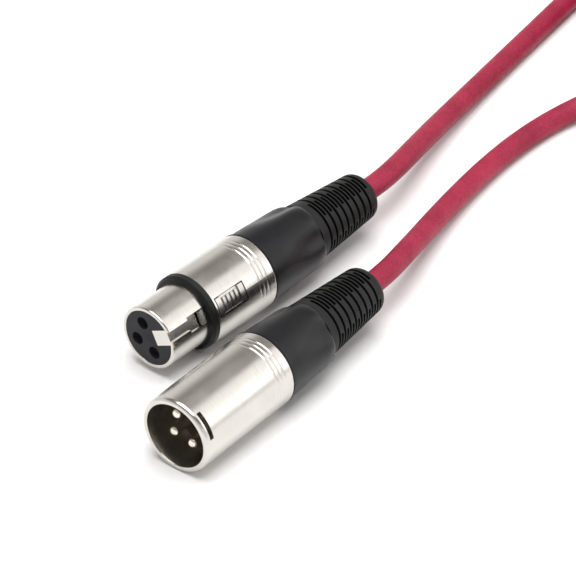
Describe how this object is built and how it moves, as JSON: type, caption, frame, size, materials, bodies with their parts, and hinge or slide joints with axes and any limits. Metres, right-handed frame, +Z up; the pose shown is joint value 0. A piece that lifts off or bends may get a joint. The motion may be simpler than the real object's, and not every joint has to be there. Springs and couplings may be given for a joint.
{
  "type": "xlr cable",
  "caption": "Audio lead with a latching female plug and a male plug, screw-on ribbed boots, and a red cable wound in a coil.",
  "frame": {"origin": "on the surface, under the middle of the box around the two plugs", "axes": "+Z up, +Y from the mouths of the plugs towards their cable ends, +X to the right seen from behind the mouths"},
  "size_m": [0.0828, 0.2877, 0.0221],
  "materials": {
    "satin_nickel": "satin nickel plate on a die-cast shell",
    "latch_nickel": "satin nickel plate",
    "steel": "bright steel",
    "contact_silver": "silver-plated brass",
    "black_ring": "matt black",
    "grey_insert": "matt dark grey moulding",
    "black_insert": "matt black moulding",
    "chuck_grey": "matt grey moulding",
    "bushing_black": "satin black moulding",
    "boot_black": "soft matt black",
    "core_insulation": "smooth",
    "jacket_red": "matt pinkish red PVC"
  },
  "bodies": {
    "lead": {"cable_coil": "jacket_red", "cable_lead_female": "jacket_red", "cable_lead_male": "jacket_red", "female_cable_end": "jacket_red", "female_conductors": "core_insulation", "female_contact_1": "contact_silver", "female_contact_2": "contact_silver", "female_contact_3": "contact_silver", "female_ground_lug": "steel", "female_insert": "grey_insert", "female_latch_pivot": "steel", "female_latch_spring": "steel", "female_shell": "satin_nickel", "female_shoulder_ring": "black_ring", "male_cable_end": "jacket_red", "male_conductors": "core_insulation", "male_ground_lug": "steel", "male_insert": "black_insert", "male_pin_1": "contact_silver", "male_pin_2": "contact_silver", "male_pin_3": "contact_silver", "male_shell": "satin_nickel"},
    "female_latch": {"female_latch_lever": "latch_nickel"},
    "female_clamp": {"female_chuck": "chuck_grey"},
    "female_gland": {"female_bushing": "bushing_black", "female_boot": "boot_black"},
    "male_clamp": {"male_chuck": "chuck_grey"},
    "male_gland": {"male_bushing": "bushing_black", "male_boot": "boot_black"}
  },
  "joints": [
    {"name": "latch_press", "type": "hinge", "parent": "lead", "child": "female_latch", "pos_m": [-0.00837, 0.00075, 0.0125], "axis": [0.454, 0, -0.891], "range_deg": [0, 3.4], "stiffness_Nm_per_rad": 0.05, "springref_deg": -17.19},
    {"name": "female_clamp_slide", "type": "slide", "parent": "lead", "child": "female_clamp", "axis": [0, 1, 0], "range_m": [0, 0.004]},
    {"name": "female_gland_turn", "type": "hinge", "parent": "female_clamp", "child": "female_gland", "pos_m": [-0.01425, 0.00775, 0.0095], "axis": [0, 1, 0], "range_deg": [0, 1440]},
    {"name": "male_clamp_slide", "type": "slide", "parent": "lead", "child": "male_clamp", "axis": [-0.0506, 0.9987, 0], "range_m": [0, 0.004]},
    {"name": "male_gland_turn", "type": "hinge", "parent": "male_clamp", "child": "male_gland", "pos_m": [0.01293, -0.01789, 0.0095], "axis": [-0.0506, 0.9987, 0], "range_deg": [0, 1440]}
  ],
  "couplings": [
    {"joint": "female_gland_turn", "follows": "female_clamp_slide", "rad_per_m": 6283.2},
    {"joint": "male_gland_turn", "follows": "male_clamp_slide", "rad_per_m": 6283.2}
  ]
}
